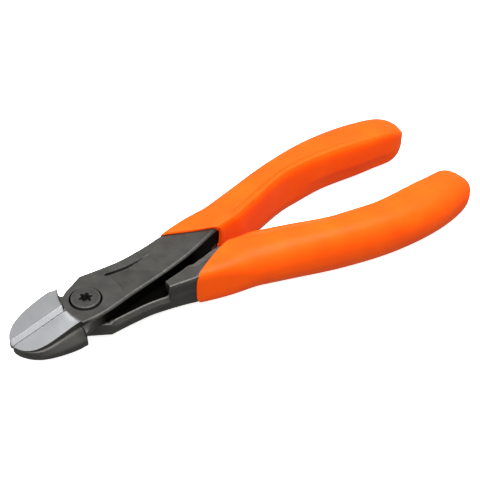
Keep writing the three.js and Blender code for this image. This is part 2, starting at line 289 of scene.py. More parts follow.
def add_node(tree: Tree, kind: str, inputs: dict[Any, Any], **settings: Any) -> bpy.types.Node:
    """Adds a node with its settings and links.

    Args:
        tree: The material's or world's nodes.
        kind: The node's type, without the words ShaderNode.
        inputs: A value, or the output to link, for each input by name or number.
        settings: The node's own properties.

    Returns:
        The node.
    """
    node = tree.nodes.new("ShaderNode" + kind)
    for name, value in settings.items():
        setattr(node, name, value)
    for key, value in inputs.items():
        if isinstance(value, bpy.types.NodeSocket):
            tree.links.new(value, node.inputs[key])
        else:
            node.inputs[key].default_value = value
    return node


def ranged(tree: Tree, value: Any, here: Span, there: Span) -> Any:
    """Maps a value that runs between the two ends of one span to those of another.

    Args:
        tree: The material's or world's nodes.
        value: The output that is mapped.
        here: The span that it comes from.
        there: The span that it goes to.

    Returns:
        The mapped output.
    """
    ends = {"From Min": here[0], "From Max": here[1], "To Min": there[0], "To Max": there[1]}
    return add_node(tree, "MapRange", {"Value": value, **ends}).outputs["Result"]


def per_metre(size: float) -> float:
    """The scale that repeats a pattern on metre coordinates every size millimetres."""
    return 1 / (size * MM)


@dataclass(frozen=True)
class Finish:
    """What every finish has: a name, two tones of its colour, and the numbers of its shader."""

    name: str
    dark: str
    light: str
    roughness: Span
    metallic: float

    def start(self) -> tuple[bpy.types.Material, Tree, Any]:
        """Starts a material with only its output.

        Returns:
            The material, its nodes, and the piece's own coordinates.
        """
        material = bpy.data.materials.new(self.name)
        material.use_nodes = True
        tree = material.node_tree
        tree.nodes.clear()
        return material, tree, add_node(tree, "TexCoord", {}).outputs["Object"]

    def noise(self, tree: Tree, place: Any, size: float, detail: float = 3) -> Any:
        """Cloudy noise whose patches are size millimetres across."""
        inputs = {"Vector": place, "Scale": per_metre(size), "Detail": detail}
        return add_node(tree, "TexNoise", inputs).outputs["Fac"]

    def marked(self, tree: Tree, name: str) -> Any:
        """The number that the piece's own mark of this name gives each place."""
        return add_node(tree, "Attribute", {}, attribute_name=name).outputs["Fac"]

    def mixed(self, tree: Tree, share: Any, low: Any, high: Any) -> Any:
        """The colour that lies a share of the way from low to high."""
        return add_node(tree, "Mix", {0: share, 6: low, 7: high}, data_type="RGBA").outputs[2]

    def toned(self, tree: Tree, noise: Any, span: Span = NOISE_SPAN) -> Any:
        """The finish's colour, from its dark tone to its light one as the noise runs over the span."""
        return self.mixed(tree, ranged(tree, noise, span, (0, 1)), linear(self.dark), linear(self.light))

    def dulled(self, tree: Tree, noise: Any) -> Any:
        """The finish's roughness, from its least to its most as the noise rises."""
        return ranged(tree, noise, NOISE_SPAN, self.roughness)

    def finish(self, tree: Tree, inputs: dict[str, Any], bumps: Sequence[tuple[Any, float]] = ()) -> None:
        """Joins the shader to the output.

        Args:
            tree: The material's nodes.
            inputs: The shader's inputs apart from its normal.
            bumps: Heights from 0 to 1 and the depth of each in millimetres.
        """
        normal = {}
        for height, depth in bumps:
            bump = add_node(tree, "Bump", {"Height": height, "Distance": depth * MM, **normal})
            normal = {"Normal": bump.outputs["Normal"]}
        shader = add_node(tree, "BsdfPrincipled", {"Metallic": self.metallic, **inputs, **normal})
        add_node(tree, "OutputMaterial", {"Surface": shader.outputs["BSDF"]})


@dataclass(frozen=True)
class PhosphatedForging(Finish):
    """Drop-forged tool steel, blasted and black phosphated: dull, grained, and rubbed bright on its edges."""

    worn: str = "#8d8b84"
    painted_shade_colour: str = "#060605"  # painted shade: near-black put in the joint, notch, seat and panel walls, where shade falls
    grain: float = 0.32  # blasted steel is finer, and this is as coarse as it needs to be to show
    patch: float = 5.0
    patch_span: Span = (0.35, 0.65)
    flecks: Span = (0.72, 0.8)  # the grain's highest peaks are rubbed through
    fleck_share: float = 0.35
    rub: float = 1.3  # size of the gaps along a rubbed edge
    unevenness: float = 1.6
    relief: float = 0.05  # depth of the grain and of the unevenness

    def build(self) -> bpy.types.Material:
        """Makes the material: patchy dark steel, paler where it is worn and painted black where shade falls
        in gaps.

        Returns:
            The material.
        """
        material, tree, place = self.start()
        patches = self.noise(tree, place, self.patch)
        grains = self.noise(tree, place, self.grain, 2)
        tone = self.toned(tree, patches, self.patch_span)
        fleck = ranged(tree, grains, self.flecks, (0, self.fleck_share))
        speckled = self.mixed(tree, fleck, tone, linear(self.worn))
        rubbed = ranged(tree, self.noise(tree, place, self.rub), (0.3, 0.65), (0.35, 1))
        factors = {0: self.marked(tree, "wear"), 1: rubbed}
        share = add_node(tree, "Math", factors, operation="MULTIPLY").outputs[0]
        rubbed_tone = self.mixed(tree, share, speckled, linear(self.worn))
        # painted shade: this mark turns the colour near-black and takes the specular away in the joint,
        # notch, seat and panel walls
        painted_shade = self.marked(tree, "painted_shade")
        inputs = {
            "Base Color": self.mixed(tree, painted_shade, rubbed_tone, linear(self.painted_shade_colour)),
            "Roughness": self.dulled(tree, patches),
            "Specular IOR Level": ranged(tree, painted_shade, (0, 1), (0.5, 0)),
        }
        uneven = self.noise(tree, place, self.unevenness)
        self.finish(tree, inputs, [(grains, self.relief), (uneven, self.relief)])
        return material


@dataclass(frozen=True)
class GroundSteel(Finish):
    """Hardened steel ground on a wheel: bright, with fine lines that run across the cutting edge."""

    line: float = 0.3  # a wheel's lines are finer, and these are as coarse as they need to be to show
    length: float = 9.0
    contrast: float = 0.7
    cloud: float = 7.0

    def build(self) -> bpy.types.Material:
        """Makes the material: noise drawn out across the jaws sets its tone, and clouds its roughness.

        Returns:
            The material.
        """
        material, tree, place = self.start()
        stretch = (per_metre(self.line), per_metre(self.length), per_metre(self.length))
        drawn = add_node(tree, "Mapping", {"Vector": place, "Scale": stretch}).outputs["Vector"]
        lines = add_node(tree, "TexNoise", {"Vector": drawn, "Scale": 1.0, "Detail": 2.0}).outputs["Fac"]
        clouds = self.noise(tree, place, self.cloud)
        share = ranged(tree, lines, NOISE_SPAN, (0, self.contrast))
        tone = self.mixed(tree, share, linear(self.light), linear(self.dark))
        self.finish(tree, {"Base Color": tone, "Roughness": self.dulled(tree, clouds)})
        return material


@dataclass(frozen=True)
class TurnedSteel(Finish):
    """Steel turned on a lathe and blackened: satin, with fine rings round its own axis."""

    worn: str = "#8d8b84"
    ring: float = 0.35  # a lathe's rings are finer, and these are as coarse as they need to be to show
    ring_depth: float = 0.012
    patch: float = 2.5
    grain: float = 0.35
    grain_depth: float = 0.02

    def build(self) -> bpy.types.Material:
        """Makes the material: rings about the pivot axis give its relief, and noise its tone.

        Returns:
            The material.
        """
        material, tree, place = self.start()
        centred = add_node(tree, "Mapping", {"Vector": place, "Location": tuple(-PIVOT)}).outputs["Vector"]
        wave = {"Vector": centred, "Scale": per_metre(self.ring) / 20, "Distortion": 0.4, "Detail Scale": 4.0}
        rings = add_node(tree, "TexWave", wave, wave_type="RINGS", rings_direction="Z").outputs["Fac"]
        patches = self.noise(tree, place, self.patch)
        colour = self.mixed(tree, self.marked(tree, "wear"), self.toned(tree, patches), linear(self.worn))
        grains = self.noise(tree, place, self.grain, 2)
        inputs = {"Base Color": colour, "Roughness": self.dulled(tree, patches)}
        self.finish(tree, inputs, [(rings, self.ring_depth), (grains, self.grain_depth)])
        return material


@dataclass(frozen=True)
class MouldedVinyl(Finish):
    """Plasticised PVC pressed in a mould: saturated and satin, with a fine spark-eroded grain."""

    grain: float = 0.4  # the mould's grain is finer, and this is as coarse as it needs to be to show
    grain_depth: float = 0.02
    patch: float = 14.0
    unevenness: float = 6.0
    uneven_depth: float = 0.08
    gloss: float = 0.12
    skin: float = 1.5  # how deep light goes into it
    skin_share: float = 0.06

    def build(self) -> bpy.types.Material:
        """Makes the material: a strong colour with faint clouds, fine grain and some light under its skin.

        Returns:
            The material.
        """
        material, tree, place = self.start()
        clouds = self.noise(tree, place, self.patch)
        grains = self.noise(tree, place, self.grain, 2)
        inputs = {
            "Base Color": self.toned(tree, clouds),
            "Roughness": self.dulled(tree, grains),
            "IOR": 1.53,
            "Specular IOR Level": self.gloss,
            "Subsurface Weight": self.skin_share,
            "Subsurface Radius": (1.0, 0.3, 0.1),
            "Subsurface Scale": self.skin * MM,
        }
        uneven = self.noise(tree, place, self.unevenness)
        self.finish(tree, inputs, [(grains, self.grain_depth), (uneven, self.uneven_depth)])
        return material


@dataclass(frozen=True)
class PalePaper(Finish):
    """Matt white studio paper, faintly mottled, lit from below."""

    glow: float = 0.85
    patch: float = 60.0

    def build(self) -> bpy.types.Material:
        """Makes the material: two close tones of white in soft patches.

        Returns:
            The material.
        """
        material, tree, place = self.start()
        tone = self.mixed(tree, self.noise(tree, place, self.patch), linear(self.dark), linear(self.light))
        glow = {"Emission Color": tone, "Emission Strength": self.glow}
        self.finish(tree, {"Base Color": tone, "Roughness": self.roughness[0], **glow})
        return material


# ---------------------------------------------------------------- levers


class Half(Enum):
    """Which of the two levers a piece belongs to, by the name of its body."""

    UPPER = "upper_half"
    LOWER = "lower_half"


@dataclass(frozen=True)
class LeverForm:
    """Sizes that both levers share. Each is worked out as the upper one, whose plate laps on top."""

    tip_x: float = -28.0
    tang_end_x: float = 128.0
    lap_z: float = 0.05  # half the running gap that is left between the levers
    head_z: float = 5.0

    plate_radius: float = 7.95
    plate_inset: float = 0.075  # how far inside that radius the round end stays
    plate_corner: Span = (3.4, 10.9)  # where the tangent off the round end meets the outer edge
    shoulder_x: float = -8.25
    shoulder_span: float = 38.0  # the shoulder runs back by y * y / shoulder_span
    shoulder_reach: float = 2.25  # how far back the near jaw's shoulder curves before it runs straight
    settled_x: float = -1.5  # where the plate's near side no longer follows the jaw's flank
    step_x: float = 26.5

    ridge_y: float = 1.5
    ridge_slope: float = math.tan(math.radians(16.5))
    ridge_top_x: float = -8.6  # where the ridges would reach the height of the head
    ridge_top_z: float = 4.95
    face_slope: float = math.tan(math.radians(4))
    bevel_depth: float = 1.4
    edge_y: float = 0.11  # half the gap between the cutting edges
    relief_y: float = 1.9  # half the width of the hollow under them
    tip_floor_z: float = -3.9
    jaw_end_x: float = -6.9
    taper_x: Span = (-30.0, -20.0)  # the flank stands out fully behind this stretch
    relief_x: Span = (-32.0, -22.0)  # and the hollow is fully open behind this one
    least_land: float = 0.3  # of a ground face, at the tip
    bulge: Span = (1.0, 1.6)  # how far a flank stands out, at the tip and at the shoulder
    narrowing: float = 1.9  # how much narrower the near jaw's ground face is at its shoulder
    narrowing_x: Span = (-26.0, -9.0)
    facet: Span = (0.0, 0.24)  # side step and share of the jaw's height down to the ledge
    ledge: Span = (0.6, 0.29)  # and to the ledge's outer edge
    ledge_start: float = 0.04  # that share where the flank starts to stand out
    belly_drop: float = 0.62
    foot: Span = (0.5, 0.12)  # how far it stands out, and the share of the height over which it draws in
    sole: float = 1.0  # width of the flat beside the hollow
    least_sole: float = 0.4
    heel: float = 0.4  # chamfer that ends the lower lever's ground face at the shoulder
    blunt_length: float = 0.45
    blunt_share: float = 0.2  # how much smaller the very tip is

    edge_chamfer: float = 0.6
    edge_land: float = 0.3  # upright strip under the chamfer
    tang_chamfer: float = 1.6
    tang_round: float = 3.0  # of its outer edges inside the grip
    hidden_x: Span = (36.0, 40.0)  # where the outer edges soften, from the grip's mouth inwards
    hidden_near_x: Span = (51.0, 57.0)  # and the inner edges, where the mouth lies further back
    lap_chamfer: float = 1.2
    lap_chamfer_x: Span = (2.0, 6.0)
    shoulder_root: float = 1.1  # radius of the fillet under the shoulder's wall
    step_root: float = 0.9  # and of the one under the step's

    bore_radius: float = 3.46
    seat_radius: float = 5.62
    seat_depth: float = 1.3
    seat_edge: float = 0.12
    seat_steps: int = 128

    outer_edge: Curve = Curve((
        (3.4, 10.9), (12, 10.4), (20, 10.3), (30, 11.5), (38, 12.9), (54, 15.2), (72, 19.4), (92, 24.9),
        (112, 27.1), (128, 26),
    ))
    lap_edge: Curve = Curve((
        (-8.25, -10.1), (-3.5, -9.9), (5, -8.8), (13.4, -6.7), (23, -4.8), (32.4, -3), (42, -0.7), (52, 2.9),
        (72, 10.2), (92, 16.5), (112, 19.1), (128, 19),
    ))
    step_edge: Curve = Curve((
        (26.5, 7.6), (34, 6.3), (43, 4.2), (52, 2.9), (72, 10.2), (92, 16.5), (112, 19.1), (128, 19),
    ))
    middle_share: float = 0.35  # how far across the flat top its sections' second corner lies
    middle_x: Span = (5.0, 30.0)  # which it moves to over this stretch, from the ridge's line
    half_thickness: Curve = Curve(((-9, 5), (16, 5), (30, 5.5), (52, 6.8), (72, 6), (100, 5.4), (128, 4.6)))
    face_width: Curve = Curve((
        (-28, 1.9), (-27, 4.1), (-25.3, 6.2), (-23, 7.9), (-20, 9.1), (-16.5, 9.9), (-12, 10.4), (-8.6, 10.4),
        (-6.9, 10.1),
    ))

    def lap_outer(self, x: Array) -> Array:
        """Outer edge of the lapping half: its plate's round end, the tangent off it, then the shank's edge.

        Args:
            x: Stations along the tool.

        Returns:
            The edge's y at each station.
        """
        corner_x, corner_y = self.plate_corner
        touch = math.atan2(corner_y, corner_x) + math.acos(self.plate_radius / math.hypot(corner_x, corner_y))
        tangent = (self.plate_radius - x * math.cos(touch)) / math.sin(touch)
        round_end = np.sqrt(np.maximum(self.plate_radius**2 - x * x, 0)) - self.plate_inset
        flat = np.where(x >= self.plate_radius * math.cos(touch), tangent, round_end)
        return np.where(x >= corner_x, self.outer_edge(x), flat)


@dataclass(frozen=True)
class Panel:
    """The shallow panel sunk into the upper lever, which comes up level with its face at the back."""

    depth: float = 1.1
    start_radius: float = 12.8
    end_x: float = 30.0
    wall: float = 0.5  # width of the slope down its wall
    near_y: float = -4.5
    deep_y: float = 5.5
    level: float = 1.7  # the ramp along it would be this many times as deep at its front
    margin: Curve = Curve(((12, 3.1), (20, 3.7), (30, 3.8)))  # from the lever's outer edge to the panel's rim
    wall_shade_strength: Span = (0.8, 0.95)  # how dark painted shade makes the arc's wall and the rim's

    def rises(self, x: Array, y: Array, form: LeverForm) -> tuple[Array, Array, Array, Array]:
        """How far a place has come down each of the panel's four slopes.

        Args:
            x: Places along the lever.
            y: Places across it.
            form: The lever's sizes.

        Returns:
            From 0 at a slope's top to 1 at its foot: the wall along the arc behind the pivot, the wall along
            the outer rim, and the ramps along the panel and across it, which run on past their ends.
        """
        arc = smoothstep(np.hypot(x, y) - self.start_radius, 0, self.wall) * (x > 0)
        rim = smoothstep(form.outer_edge(x) - self.margin(x) - y, 0, self.wall)
        along = (self.end_x - x) / (self.end_x - self.start_radius)
        across = (y - self.near_y) / (self.deep_y - self.near_y)
        return arc, rim, along, across

    def sunk(self, x: Array, y: Array, form: LeverForm) -> Array:
        """How deep the panel is below the face: the lower of its two ramps, behind its two walls.

        Args:
            x: Places along the lever.
            y: Places across it.
            form: The lever's sizes.

        Returns:
            The depth at each place.
        """
        arc, rim, along, across = self.rises(x, y, form)
        return self.depth * np.clip(np.minimum(self.level * along, across), 0, 1) * arc * rim

    def painted_wall_shade(self, x: Array, y: Array, form: LeverForm) -> Array:
        """How much painted shade darkens the walls half way down, by how deep the panel is beside them.

        Args:
            x: Places along the lever.
            y: Places across it.
            form: The lever's sizes.

        Returns:
            One number from 0 to 1 for each place.
        """
        arc, rim, along, across = self.rises(x, y, form)
        on_arc = self.wall_shade_strength[0] * 4 * arc * (1 - arc) * rim * np.clip(across, 0, 1)
        on_rim = self.wall_shade_strength[1] * 4 * rim * (1 - rim) * arc * np.sqrt(np.clip(along, 0, 1))
        return np.clip(np.maximum(on_arc, on_rim), 0, 1)


@dataclass
class Lever:
    """A forged lever: jaw, half-thick plate that laps over the other lever, shank, and tang inside the grip.

    Its sections all have twelve corners, so that one net of faces runs from the tip to the end of the tang.
    """

    half: Half
    name: str
    forging: bpy.types.Material
    ground: bpy.types.Material
    form: LeverForm = field(default_factory=LeverForm)
    panel: Panel = field(default_factory=Panel)
    arc_steps: int = 5
    crease: float = 32.0

    CORNERS = 12

    @property
    def upper(self) -> bool:
        """Whether this is the upper lever."""
        return self.half is Half.UPPER

    @property
    def runs(self) -> tuple[int, ...]:
        """Points between each corner of a section and the next, closest where the section has fine detail."""
        if self.upper:
            return (80, 84, 2, 2, 3, 3, 1, 8, 3, 12, 2, 5)
        return (14, 14, 2, 2, 3, 3, 1, 8, 40, 10, 2, 5)

    def curve_back(self, y: Array) -> Array:
        """How far behind its middle the shoulder lies at y."""
        back = y * y / self.form.shoulder_span
        return np.minimum(back, self.form.shoulder_reach) if self.upper else back

    def section(self, rows: Sequence[tuple[Any, Any]], x: Array) -> Array:
        """Corners as (corner, yz, station), from the y and z of each, which may be plain numbers."""
        return np.stack([np.stack([np.broadcast_to(v, x.shape) for v in row]) for row in rows])

    def jaw(self, x: Array) -> Array:
        """Corners of the jaw's section, anticlockwise from its far top corner.

        The upper lever's jaw has its ground face on top and the lower lever's has it underneath, so the same
        corners are met in a different order.

        Args:
            x: Stations along the tool.

        Returns:
            Corners as (corner, yz, station).
        """
        form = self.form
        width = form.face_width(x)
        taper = smoothstep(x, *form.taper_x)
        along = np.clip((x - form.tip_x) / (form.jaw_end_x - form.tip_x), 0, 1)
        ridge_y = np.minimum(form.ridge_y, width - form.least_land)
        ridge = np.minimum(form.head_z + (x - form.ridge_top_x) * form.ridge_slope, form.ridge_top_z)
        edge = ridge - form.bevel_depth * ridge_y / form.ridge_y
        outer = ridge - (width - ridge_y) * form.face_slope
        floor = between(form.tip_floor_z, -form.head_z, along)
        drop = outer - floor
        side = width + taper * between(*form.bulge, along)
        relief = np.minimum(form.relief_y * smoothstep(x, *form.relief_x), width - form.least_sole)
        narrow = form.narrowing * smoothstep(x, *form.narrowing_x) * self.upper
        face_end = width - narrow
        ledge_drop = between(form.ledge_start, form.ledge[1], taper)
        facet = (face_end + form.facet[0] * taper, outer - form.facet[1] * taper * drop)
        ledge = (face_end + form.ledge[0] * taper, outer - ledge_drop * drop)
        belly = (side, outer - form.belly_drop * drop)
        low_side = (side, floor + form.foot[1] * drop)
        foot = (width + form.foot[0] * taper, floor)
        up_relief = [(between(relief, form.edge_y, s), between(floor, edge, s)) for s in (0.35, 0.7)]
        if self.upper:
            face = [(form.edge_y, edge), (ridge_y, ridge), (face_end, outer + narrow * form.face_slope)]
            under = [foot, (relief + form.sole, floor), (relief, floor), *up_relief]
            return self.section([*face, facet, ledge, belly, low_side, *under], x) * [[-1], [1]]
        behind = x - form.shoulder_x - self.curve_back(width)
        cut = form.heel * np.clip((behind + form.heel) / form.heel, 0, 1)
        flank = [foot, low_side, (side, between(low_side[1], belly[1], 0.4)), belly, ledge, facet]
        face = [(width, outer - cut), (ridge_y, ridge - cut), (form.edge_y, edge - cut)]
        under = [(relief, floor), (between(relief, width, 0.4), floor)]
        return self.section([*under, *flank, *face, up_relief[1]], x) * [[-1], [-1]]

    def top_middle(self, x: Array) -> Array:
        """Where the section's second corner lies on the flat top, between its two edges."""
        middle = between(self.form.lap_edge(x), self.form.lap_outer(x), self.form.middle_share)
        return between(-self.form.ridge_y, middle, smoothstep(x, *self.form.middle_x))

    def plate(self, x: Array) -> Array:
        """Corners of the half-thick plate's section, whose near side takes over the jaw's facet and ledge.

        Args:
            x: Stations along the tool, between the shoulder and the step.

        Returns:
            Corners as (corner, yz, station).
        """
        form, jaw = self.form, self.jaw(x)
        top, near, far = form.half_thickness(x), form.lap_edge(x), form.lap_outer(x)
        cut = form.lap_chamfer * smoothstep(x, *form.lap_chamfer_x)
        step = float(form.step_edge(np.array(form.step_x)))
        shift = smoothstep(x, 0, form.step_x)
        front = 1 - smoothstep(x, form.shoulder_x, form.settled_x)
        side = between(near, jaw[5, 0], front)
        shoulder_root = form.lap_z - fillet(x - form.shoulder_x - self.curve_back(side), form.shoulder_root)
        step_root = form.lap_z - fillet(form.step_x - x, form.step_root)
        corners = self.section([
            (far, top),
            (self.top_middle(x), top),
            (near + form.edge_chamfer, top),
            (near, top - form.edge_chamfer),
            (near, top - form.edge_chamfer - form.edge_land),
            (side, between(2.0, 1.0, front)),
            (side, between(0.8, 0.5, front)),
            (side, shoulder_root),
            (between(-2.9, step - 0.4, shift), form.lap_z),
            (between(-1.9, step, shift), step_root),
            (far - cut, step_root),
            (far, form.lap_z + cut * 1.1 + 0.3),
        ], x)
        for k in (3, 4) if self.upper else (2, 3, 4):
            corners[k] = between(corners[k], jaw[k], front)
        return corners

    def handle(self, x: Array) -> Array:
        """Corners of the section behind the step, of full thickness with a notch under its near edge.

        Args:
            x: Stations along the tool, from the step on.

        Returns:
            Corners as (corner, yz, station).
        """
        form = self.form
        top, near, far = form.half_thickness(x), form.lap_edge(x), form.outer_edge(x)
        chamfer = between(form.edge_chamfer, form.tang_chamfer, smoothstep(x, *form.hidden_near_x))
        notch = np.maximum(form.step_edge(x), near + 0.3)
        return self.section([
            (far, top),
            (self.top_middle(x), top),
            (near + chamfer, top),
            (near, top - chamfer),
            (near, top - chamfer - form.edge_land),
            (near, 2.0),
            (near, 0.8),
            (near, form.lap_z),
            (notch, form.lap_z),
            (notch, -top),
            (far, -top),
            (far, 0.0),
        ], x)

    def cuts(self, zone: str, x: Array) -> Array:
        """How far from each corner its rounding starts, as (corner, station).

        Args:
            zone: The name of the stretch: jaw, plate or handle.
            x: Stations along the tool.

        Returns:
            The distances.
        """
        fixed = {
            "jaw": (0.02, 0.02, 0.06, 0.1, 0.12, 0.7, 1.2, 0.6, 0.3, 0.5, 0.3, 0.3),
            "turned jaw": (0.5, 0.1, 0.6, 1.2, 0.3, 1.3, 0.3, 0.5, 0.06, 0.02, 0.02, 0.3),
            "plate": (0.35, 0.1, 0.5, 0.35, 0.3, 0.3, 0.3, 0.25, 0.1, 0.1, 0.35, 0.4),
            "handle": (0.45, 0.1, 0.5, 0.35, 0.2, 0.2, 0.2, 0.25, 0.5, 0.4, 0.4, 0.2),
        }
        kind = "turned jaw" if zone == "jaw" and not self.upper else zone
        rounding = np.repeat(np.array(fixed[kind])[:, None], len(x), axis=1)
        if zone == "handle":
            far_corners = [0, 9, 10]
            rounding[far_corners] += (self.form.tang_round - 0.4) * smoothstep(x, *self.form.hidden_x)
        return rounding

    def stations(self) -> tuple[Array, Array, Array]:
        """Stations along the tool, closest where the outline turns quickly.

        Returns:
            Those of the jaw, the plate and the handle.
        """
        form = self.form
        tip = form.tip_x + np.array([0, 0.03, 0.08, 0.16, 0.28, 0.45, 0.7, 1.0])
        front = form.shoulder_x
        jaw = [tip, np.linspace(form.tip_x + 1.35, front - 0.8, 46), front - np.array([0.4, 0.2, 0.0])]
        plate = [
            front + 0.004 + np.array([0, 0.08, 0.16, 0.26]),
            -form.plate_radius * np.cos(np.linspace(0.01, 0.62, 26) * math.pi / 2),
            np.arange(-4.2, 3.2, 0.4),
            [3.3, 3.38, 3.42, 3.5],
            np.arange(3.8, 9.6, 0.4),
            np.arange(9.7, 14, 0.16),
            np.arange(14.2, 25.4, 0.35),
            form.step_x - np.array([0.9, 0.7, 0.5, 0.3, 0.15, 0.05, 0]),
        ]
        handle = [
            form.step_x + np.array([0.004, 0.2]),
            np.arange(27, 60, 0.5),
            np.arange(62, form.tang_end_x, 4),
        ]
        return np.concatenate(jaw), np.concatenate(plate), np.concatenate(handle)

    def rounded(self, corners: Array, cuts: Array) -> Array:
        """Rounds each corner by a parabola between points on its sides, and spreads points along the sides.

        Args:
            corners: Corners as (corner, yz, station).
            cuts: How far from each corner its rounding starts, as (corner, station).

        Returns:
            Points as (point, yz, station).
        """
        back = np.roll(corners, 1, axis=0) - corners
        on = np.roll(corners, -1, axis=0) - corners
        back_length = np.maximum(np.linalg.norm(back, axis=1), 1e-6)
        on_length = np.maximum(np.linalg.norm(on, axis=1), 1e-6)
        reach = np.minimum(cuts, 0.46 * np.minimum(back_length, on_length))  # two roundings never meet
        start = corners + back * (reach / back_length)[:, None]
        end = corners + on * (reach / on_length)[:, None]
        t = np.linspace(0, 1, self.arc_steps)[:, None, None]
        points = []
        for k in range(self.CORNERS):
            points.append((1 - t) ** 2 * start[k] + 2 * t * (1 - t) * corners[k] + t**2 * end[k])
            s = np.linspace(0, 1, self.runs[k] + 2)[1:-1, None, None]
            points.append(between(end[k], start[(k + 1) % self.CORNERS], s))
        return np.concatenate(points)

    def bowed(self, outline: Callable[[Array], Array], x: Array, bow: Array) -> Array:
        """Corners of stations that are bowed to run along the curved shoulder.

        A corner lies behind x by its share of the shoulder's curve, and its own y is the outline's at that
        place, so the two are brought into step by a few rounds.

        Args:
            outline: A function of stations that gives corners.
            x: Stations on the tool's axis.
            bow: How far each station is bowed, from 0 to 1.

        Returns:
            Corners as (corner, yz, station).
        """
        places = np.repeat(x[None], self.CORNERS, axis=0)
        for _ in range(6):
            corners = np.stack([outline(places[k])[k] for k in range(self.CORNERS)])
            places = x + bow * self.curve_back(corners[:, 0])
        return corners

    def corner_start(self, corner: int) -> int:
        """The number of the first point of a corner's rounding."""
        return corner * self.arc_steps + sum(self.runs[:corner])

    def rings(self) -> tuple[Array, int]:
        """Sections of the whole lever in space.

        Returns:
            Points as (station, point, xyz), and how many stations the jaw has.
        """
        form = self.form
        jaw_x, plate_x, handle_x = self.stations()
        bows = [
            smoothstep(jaw_x, form.taper_x[1], form.shoulder_x),
            1 - smoothstep(plate_x, form.shoulder_x, form.settled_x),
            np.zeros_like(handle_x),
        ]
        zones = [("jaw", self.jaw, jaw_x), ("plate", self.plate, plate_x), ("handle", self.handle, handle_x)]
        parts = []
        for (zone, outline, x), bow in zip(zones, bows):
            corners = self.bowed(outline, x, bow)
            if zone == "jaw":
                middle = corners.mean(axis=0)
                blunt = 1 - np.clip((x - form.tip_x) / form.blunt_length, 0, 1)
                corners = middle + (corners - middle) * (1 - form.blunt_share * (1 - np.sqrt(1 - blunt**2)))
            section = self.rounded(corners, self.cuts(zone, x))
            places = x + bow * self.curve_back(section[:, 0])
            parts.append(np.stack([places, section[:, 0], section[:, 1]], axis=2).transpose(1, 0, 2))
        return np.concatenate(parts), len(jaw_x)

    def worn(self, stations: int) -> Array:
        """How much each point is rubbed bright: most in the middle of a corner's rounding.

        Args:
            stations: How many sections the lever has.

        Returns:
            One number from 0 to 1 for each point of each section.
        """
        rubbed = (0.15, 0, 0.15, 0.1, 0.2, 0, 0, 0.2, 0, 0.4, 0.5, 0.1)  # each corner's most
        hump = 1 - np.abs(np.linspace(-1, 1, self.arc_steps)) * 0.6
        ring = np.zeros(self.corner_start(self.CORNERS))
        for k, amount in enumerate(rubbed):
            start = self.corner_start(k)
            ring[start : start + self.arc_steps] = amount * hump
        return np.tile(ring, stations)

    def painted_shade(self, places: Array) -> Array:
        """How much painted shade blackens each point: in the gaps of the joint, notch and seat and on the
        panel's walls.

        The borders are soft, and most lie about a tenth of a millimetre outside the surfaces that they mark.

        Args:
            places: Points in millimetres from the pivot, in the upper lever's place.

        Returns:
            One number from 0 to 1 for each point.
        """
        x, y, z = places.T
        form = self.form
        top = form.half_thickness(x)
        below_edge = smoothstep(top - form.edge_chamfer - z, 0, 0.35)
        wall = smoothstep(form.lap_edge(x) + 0.12 - y, -0.05, 0.05) * below_edge
        inside_rim = smoothstep(form.lap_outer(x) - form.lap_chamfer - y, 0, 0.3)
        lap = smoothstep(form.lap_z + 0.6 - z, 0, 0.5) * (x < form.step_x) * inside_rim
        notch = (x >= form.step_x) * (y < form.step_edge(x) + 0.3) * (z < form.lap_z + 0.5)
        seat = (np.hypot(x, y) < form.seat_radius + 0.03) * (z < top - form.seat_edge)
        # painted shade half way down the panel's walls
        panel = self.panel.painted_wall_shade(x, y, form) * (z > 0) * self.upper
        along = smoothstep(x, -3.5, 3.0)
        return np.clip(np.maximum.reduce([wall * along, lap * along, notch, seat, panel]), 0, 1)

    def seat(self) -> Surface:
        """The bore through the lever and the counterbore above it, as the shape that is cut out.

        Returns:
            The surface, in the upper lever's place.
        """
        form = self.form
        top = float(form.half_thickness(np.array(0.0)))
        clear = 20.0  # well outside the lever
        return turned((
            (0.001, clear),
            (form.seat_radius + clear - 4, clear),
            (form.seat_radius + form.seat_edge, top + 0.01),
            (form.seat_radius, top - form.seat_edge),
            (form.seat_radius, top - form.seat_depth),
            (form.bore_radius, top - form.seat_depth),
            (form.bore_radius, -clear),
            (0.001, -clear),
        ), form.seat_steps)

    def ground_face(self, faces: int, points: int, jaw_stations: int) -> Array:
        """Which faces are ground bright: those between the first and last corner of the jaw's ground face.

        Args:
            faces: How many faces the lever has.
            points: How many points a section has.
            jaw_stations: How many sections the jaw has.

        Returns:
            True or false for each face.
        """
        first, last, rounding, behind = (0, 2, 0, 1) if self.upper else (8, 10, self.arc_steps, -1)
        station, point = np.divmod(np.arange(faces), points)
        inside = (point >= self.corner_start(first) + rounding) & (point < self.corner_start(last) + rounding)
        return inside & (station < jaw_stations + behind)

    def surface(self) -> tuple[Surface, Array]:
        """The lever before its bore is cut.

        Returns:
            The surface, in the upper lever's place, and how worn each vertex is.
        """
        rings, jaw_stations = self.rings()
        if self.upper:
            top = slice(self.corner_start(0), self.corner_start(3))
            rings[:, top, 2] -= self.panel.sunk(rings[:, top, 0], rings[:, top, 1], self.form)
        made = closed_loft(rings)
        made.finish = self.ground_face(len(made.faces), rings.shape[1], jaw_stations).astype(int)
        return made, np.append(self.worn(rings.shape[0]), [0, 0])

    def build(self) -> bpy.types.Object:
        """Makes the lever, cuts its bore and puts it in place of its plain node.

        Returns:
            The finished piece.
        """
        made, worn = self.surface()
        bore = self.seat()
        if not self.upper:
            made, bore = made.turned_over(), bore.turned_over()
        piece = make_piece(self.name + "_forging", made, [self.forging, self.ground])
        mark(piece, "wear", worn)
        carve(piece, bore)
        places = places_on(piece)
        # painted shade: gaps and hollows are marked near-black, worked out in the upper lever's place
        mark(piece, "painted_shade", self.painted_shade(places if self.upper else places * np.array([1, -1, -1])))
        smooth_shade(piece, self.crease)
        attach(piece, self.half.value)
        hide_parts(self.name)
        report(piece)
        return piece


# ---------------------------------------------------------------- pivot


